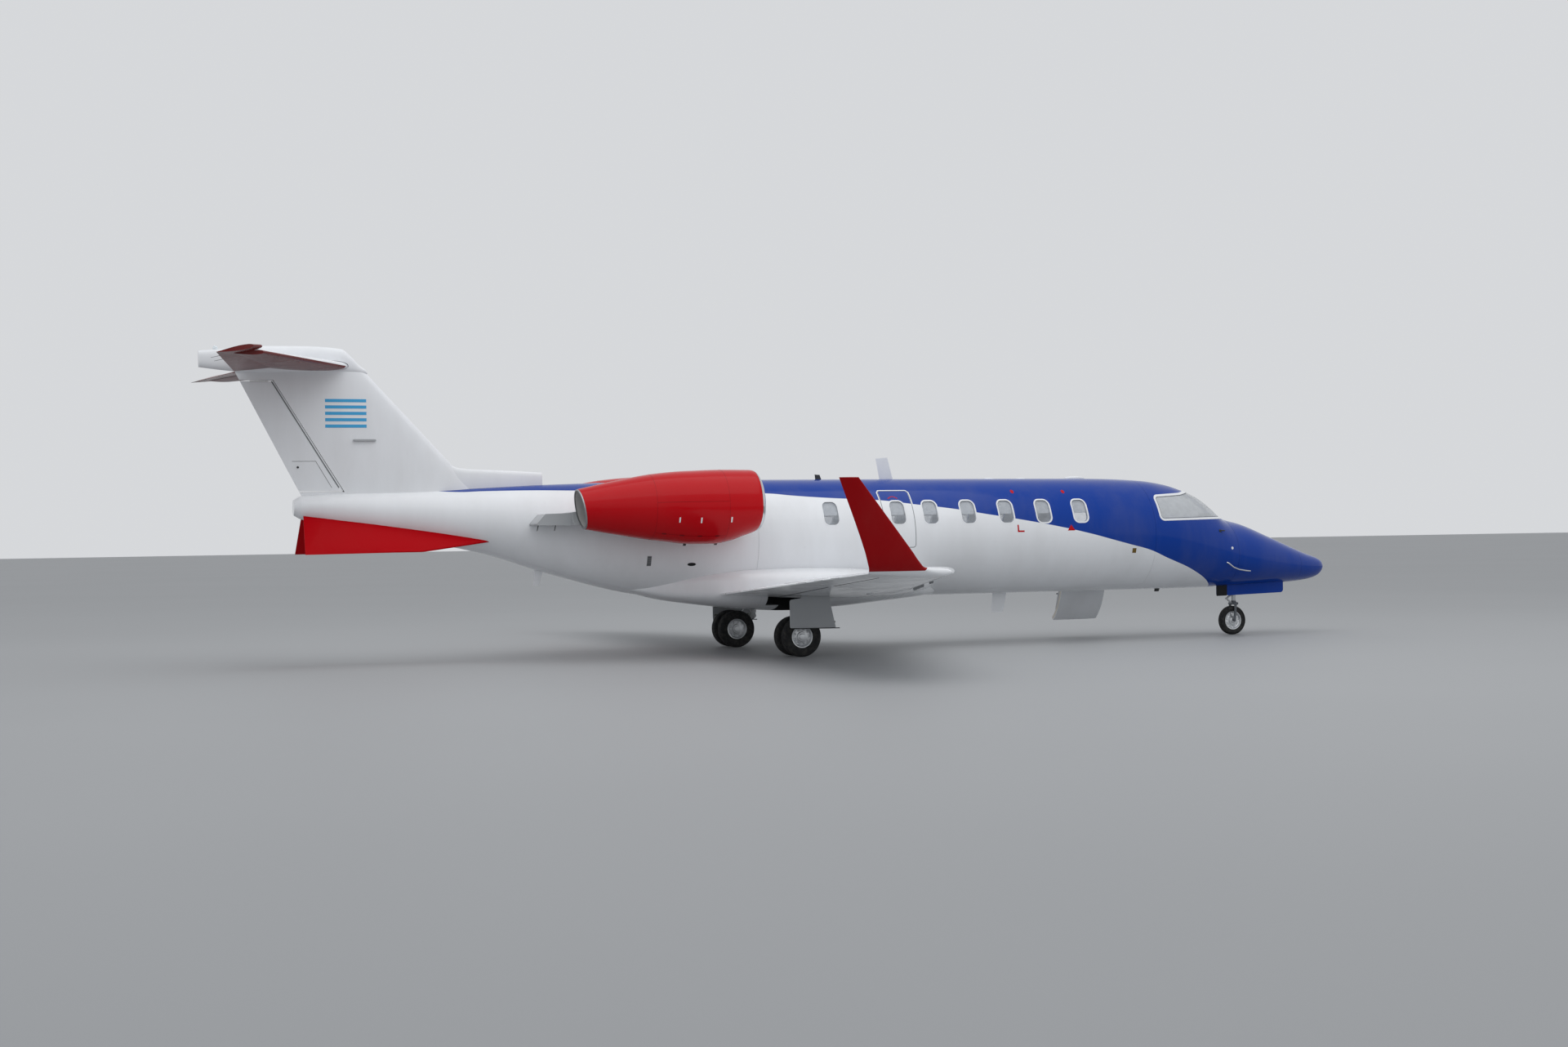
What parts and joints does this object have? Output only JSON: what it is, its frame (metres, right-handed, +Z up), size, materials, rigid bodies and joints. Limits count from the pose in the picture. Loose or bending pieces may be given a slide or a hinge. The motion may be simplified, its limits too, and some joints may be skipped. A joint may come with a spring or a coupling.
{
  "type": "business jet",
  "caption": "Light twin-engined business jet on its wheels, with winglets, a T-tail, delta fins, an opening entry door, and wheels, fans and surfaces that move.",
  "frame": {"origin": "on the ground under the middle of the jet's length, on its centre line", "axes": "+X to the nose, +Y to the left wing, +Z up"},
  "size_m": [17.56, 14.5792, 4.352],
  "materials": {
    "white_paint": "gloss",
    "blue_paint": "gloss",
    "red_paint": "gloss",
    "dark_red_paint": "gloss",
    "grey_paint": "satin",
    "radome_plastic": "gloss",
    "windscreen_glass": "gloss",
    "cabin_glass": "gloss",
    "bare_aluminium": "satin",
    "gear_steel": "gloss",
    "engine_steel": "satin",
    "tyre_rubber": "matte",
    "cabin_leather": "matte",
    "cabin_lining": "matte",
    "panel_plastic": "matte"
  },
  "bodies": {
    "airframe": {"nose_cone": "radome_plastic", "nose_section": "blue_paint", "cockpit_shell": "blue_paint", "cabin_keel": "white_paint", "cabin_side_left": "white_paint", "cabin_side_right": "white_paint", "cabin_crown": "blue_paint", "tail_section": "white_paint", "belly_fairing": "white_paint", "windscreen_left": "windscreen_glass", "windscreen_right": "windscreen_glass", "window_band_left": "cabin_glass", "window_band_right": "cabin_glass", "exit_hatch": "white_paint", "cabin_floor": "cabin_leather", "aft_bulkhead": "cabin_lining", "instrument_panel": "panel_plastic", "wing_left": "white_paint", "wing_right": "white_paint", "winglet_left": "dark_red_paint", "winglet_right": "dark_red_paint", "nacelle_left": "red_paint", "nacelle_right": "red_paint", "engine_core_left": "engine_steel", "engine_core_right": "engine_steel", "pylon_left": "grey_paint", "pylon_right": "grey_paint", "fin": "white_paint", "tailplane": "red_paint", "delta_fin_left": "red_paint", "delta_fin_right": "red_paint", "main_leg_left": "gear_steel", "main_leg_right": "gear_steel", "main_door_left": "grey_paint", "main_door_right": "grey_paint", "nose_leg": "gear_steel", "nose_door_left": "blue_paint", "nose_door_right": "blue_paint"},
    "nose_steering": {"nose_fork": "gear_steel"},
    "nose_wheel_set": {"nose_wheel": "bare_aluminium", "nose_tyre": "tyre_rubber"},
    "rudder_body": {"rudder": "white_paint"},
    "entry_door_lower_body": {"entry_door_lower": "white_paint"},
    "entry_door_upper_body": {"entry_door_upper": "blue_paint"},
    "main_wheel_set_left": {"main_wheels_left": "bare_aluminium", "main_tyre_inner_left": "tyre_rubber", "main_tyre_outer_left": "tyre_rubber"},
    "fan_body_left": {"fan_left": "bare_aluminium"},
    "flap_body_left": {"flap_left": "white_paint"},
    "aileron_body_left": {"aileron_left": "white_paint"},
    "elevator_body_left": {"elevator_left": "red_paint"},
    "main_wheel_set_right": {"main_wheels_right": "bare_aluminium", "main_tyre_inner_right": "tyre_rubber", "main_tyre_outer_right": "tyre_rubber"},
    "fan_body_right": {"fan_right": "bare_aluminium"},
    "flap_body_right": {"flap_right": "white_paint"},
    "aileron_body_right": {"aileron_right": "white_paint"},
    "elevator_body_right": {"elevator_right": "red_paint"}
  },
  "joints": [
    {"name": "nose_wheel_steer", "type": "hinge", "parent": "airframe", "child": "nose_steering", "pos_m": [7.115, 0, 0.6], "axis": [0, 0, 1], "range_deg": [-60, 60]},
    {"name": "nose_wheel_spin", "type": "hinge", "parent": "nose_steering", "child": "nose_wheel_set", "pos_m": [7.08, 0, 0.2285], "axis": [0, 1, 0], "continuous": true},
    {"name": "rudder_hinge", "type": "hinge", "parent": "airframe", "child": "rudder_body", "pos_m": [-6.92687, 0, 2.385], "axis": [-0.5191, 0, 0.8547], "range_deg": [-25, 25]},
    {"name": "entry_door_lower_hinge", "type": "hinge", "parent": "airframe", "child": "entry_door_lower_body", "pos_m": [4.73, 0.55976, 0.95], "axis": [1, 0, 0], "range_deg": [0, 129]},
    {"name": "entry_door_upper_hinge", "type": "hinge", "parent": "airframe", "child": "entry_door_upper_body", "pos_m": [4.73, 0.63714, 2.24], "axis": [-1, 0, 0], "range_deg": [0, 88]},
    {"name": "main_wheel_spin_left", "type": "hinge", "parent": "airframe", "child": "main_wheel_set_left", "pos_m": [-0.865, 1.42, 0.2795], "axis": [0, 1, 0], "continuous": true},
    {"name": "fan_spin_left", "type": "hinge", "parent": "airframe", "child": "fan_body_left", "pos_m": [-1.96, 1.365, 2.095], "axis": [1, 0, 0], "continuous": true},
    {"name": "flap_hinge_left", "type": "hinge", "parent": "airframe", "child": "flap_body_left", "pos_m": [-1.01673, 1.09, 0.91527], "axis": [0.1287, -0.9901, -0.0563], "range_deg": [0, 35]},
    {"name": "aileron_hinge_left", "type": "hinge", "parent": "airframe", "child": "aileron_body_left", "pos_m": [-1.42131, 4.24, 1.09498], "axis": [-0.1102, 0.9922, 0.0585], "range_deg": [-20, 20]},
    {"name": "elevator_hinge_left", "type": "hinge", "parent": "airframe", "child": "elevator_body_left", "pos_m": [-7.87173, 0.14, 4.08408], "axis": [-0.2975, 0.9547, -0.011], "range_deg": [0, 31]},
    {"name": "main_wheel_spin_right", "type": "hinge", "parent": "airframe", "child": "main_wheel_set_right", "pos_m": [-0.865, -1.42, 0.2795], "axis": [0, 1, 0], "continuous": true},
    {"name": "fan_spin_right", "type": "hinge", "parent": "airframe", "child": "fan_body_right", "pos_m": [-1.96, -1.365, 2.095], "axis": [1, 0, 0], "continuous": true},
    {"name": "flap_hinge_right", "type": "hinge", "parent": "airframe", "child": "flap_body_right", "pos_m": [-1.01673, -1.09, 0.91527], "axis": [-0.1287, -0.9901, 0.0563], "range_deg": [0, 35]},
    {"name": "aileron_hinge_right", "type": "hinge", "parent": "airframe", "child": "aileron_body_right", "pos_m": [-1.42131, -4.24, 1.09498], "axis": [0.1102, 0.9922, -0.0585], "range_deg": [-20, 20]},
    {"name": "elevator_hinge_right", "type": "hinge", "parent": "airframe", "child": "elevator_body_right", "pos_m": [-7.87173, -0.14, 4.08408], "axis": [0.2975, 0.9547, 0.011], "range_deg": [0, 31]}
  ],
  "couplings": [
    {"joint": "flap_hinge_right", "follows": "flap_hinge_left", "ratio": 1},
    {"joint": "aileron_hinge_right", "follows": "aileron_hinge_left", "ratio": -1},
    {"joint": "elevator_hinge_right", "follows": "elevator_hinge_left", "ratio": 1}
  ]
}
